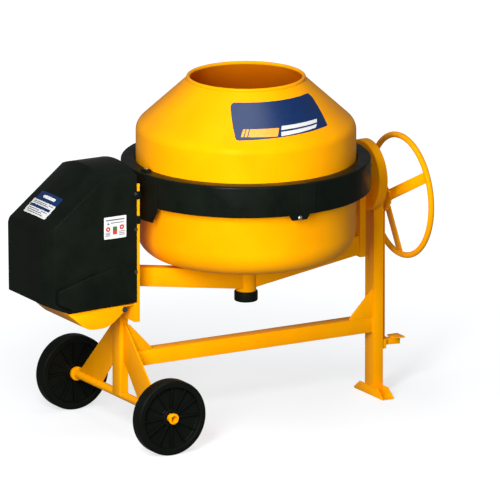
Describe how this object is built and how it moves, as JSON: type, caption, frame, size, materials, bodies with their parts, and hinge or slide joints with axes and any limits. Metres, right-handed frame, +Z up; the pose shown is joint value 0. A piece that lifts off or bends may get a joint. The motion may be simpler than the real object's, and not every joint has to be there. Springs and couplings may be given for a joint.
{
  "type": "concrete mixer",
  "caption": "Tilting drum concrete mixer on two wheels and a leg, with an upright steel drum in a yoke, ring gear guard, motor cover, handwheel tilt drive and foot lock.",
  "frame": {"origin": "on the ground, under the middle of the machine's box", "axes": "+Z up, +X from the motor cover to the handwheel, Y along the wheels' axle"},
  "size_m": [1.78, 1.0512, 1.44],
  "materials": {
    "yellow_paint": "gloss",
    "black_plastic": "satin",
    "cast_iron": "cast",
    "steel": "turned",
    "zinc": "zinc plated",
    "motor_alloy": "cast",
    "rubber": "matt",
    "black_tyre": "satin",
    "red_key": "gloss"
  },
  "bodies": {
    "chassis": {"axle_tube": "yellow_paint", "axle_rings": "yellow_paint", "front_post": "yellow_paint", "axle_braces": "yellow_paint", "main_beam": "yellow_paint", "beam_gussets": "yellow_paint", "rear_leg": "yellow_paint", "foot_plate": "yellow_paint", "motor_pan": "yellow_paint", "back_plate": "yellow_paint", "motor_cover": "black_plastic", "cover_screws": "zinc", "motor_housing": "motor_alloy", "motor_plate": "yellow_paint", "drive_belt": "rubber", "left_bearing": "yellow_paint", "gear_guard": "yellow_paint", "tilt_bearing": "steel", "handwheel_bush": "steel", "pedal_bracket": "yellow_paint", "return_spring": "steel", "switch_box": "black_plastic", "cable_inlet": "black_plastic"},
    "yoke": {"yoke_beam_left": "yellow_paint", "yoke_beam_right": "yellow_paint", "yoke_arm_left": "yellow_paint", "yoke_arm_right": "yellow_paint", "hub_tube": "yellow_paint", "hub_bearings": "steel", "hub_cap": "black_plastic", "trunnion_tube": "steel", "pinion_bearings": "steel", "tilt_shaft": "steel", "tilt_gear": "cast_iron", "ring_guard_left": "black_plastic", "ring_guard_right": "black_plastic", "guard_straps": "black_plastic", "guard_bolts": "zinc", "pinion_box": "black_plastic"},
    "drum": {"drum_bowl": "yellow_paint", "drum_cone": "yellow_paint", "ring_gear": "cast_iron", "seam_bolts": "zinc", "mixing_paddles": "yellow_paint", "drum_spindle": "yellow_paint"},
    "drive_shaft": {"pinion_shaft": "steel", "bevel_pinion": "cast_iron", "drive_pulley": "cast_iron"},
    "rotor": {"motor_shaft": "steel", "motor_pulley": "cast_iron"},
    "handwheel": {"handwheel_hoop": "yellow_paint", "handwheel_spokes": "yellow_paint", "handwheel_shaft": "steel", "tilt_pinion": "cast_iron", "lock_disc": "yellow_paint"},
    "wheel_near": {"wheel_near": "black_tyre"},
    "wheel_far": {"wheel_far": "black_tyre"},
    "pedal": {"lock_pedal": "yellow_paint"},
    "lock_rod": {"pull_rod": "yellow_paint"},
    "rocker": {"switch_rocker": "red_key"}
  },
  "joints": [
    {"name": "yoke_tilt", "type": "hinge", "parent": "chassis", "child": "yoke", "pos_m": [0.14, 0, 0.945], "axis": [1, 0, 0], "range_deg": [-120, 120]},
    {"name": "drum_spin", "type": "hinge", "parent": "yoke", "child": "drum", "pos_m": [0.14, 0, 0.6], "axis": [0, 0, 1], "continuous": true},
    {"name": "drive_spin", "type": "hinge", "parent": "yoke", "child": "drive_shaft", "pos_m": [-0.46, 0, 0.945], "axis": [1, 0, 0], "continuous": true},
    {"name": "rotor_spin", "type": "hinge", "parent": "chassis", "child": "rotor", "pos_m": [-0.66, 0, 0.682], "axis": [1, 0, 0], "continuous": true},
    {"name": "handwheel_turn", "type": "hinge", "parent": "chassis", "child": "handwheel", "pos_m": [0.79, 0, 0.837], "axis": [1, 0, 0], "range_deg": [-430, 430]},
    {"name": "wheel_near_spin", "type": "hinge", "parent": "chassis", "child": "wheel_near", "pos_m": [-0.454, -0.41, 0.158], "axis": [0, 1, 0], "continuous": true},
    {"name": "wheel_far_spin", "type": "hinge", "parent": "chassis", "child": "wheel_far", "pos_m": [-0.454, 0.41, 0.158], "axis": [0, 1, 0], "continuous": true},
    {"name": "pedal_press", "type": "hinge", "parent": "chassis", "child": "pedal", "pos_m": [0.782, 0, 0.216], "axis": [0, 1, 0], "range_deg": [0, 14]},
    {"name": "rod_pull", "type": "slide", "parent": "chassis", "child": "lock_rod", "axis": [0, 0, 1], "range_m": [-0.0065, 0]},
    {"name": "switch_rock", "type": "hinge", "parent": "chassis", "child": "rocker", "pos_m": [-0.56, 0.194, 0.82], "axis": [1, 0, 0], "range_deg": [-8, 8]}
  ],
  "couplings": [
    {"joint": "drive_spin", "follows": "drum_spin", "ratio": 12},
    {"joint": "rotor_spin", "follows": "drum_spin", "ratio": 60},
    {"joint": "handwheel_turn", "follows": "yoke_tilt", "ratio": -3.5},
    {"joint": "rod_pull", "follows": "pedal_press", "m_per_rad": -0.023}
  ]
}
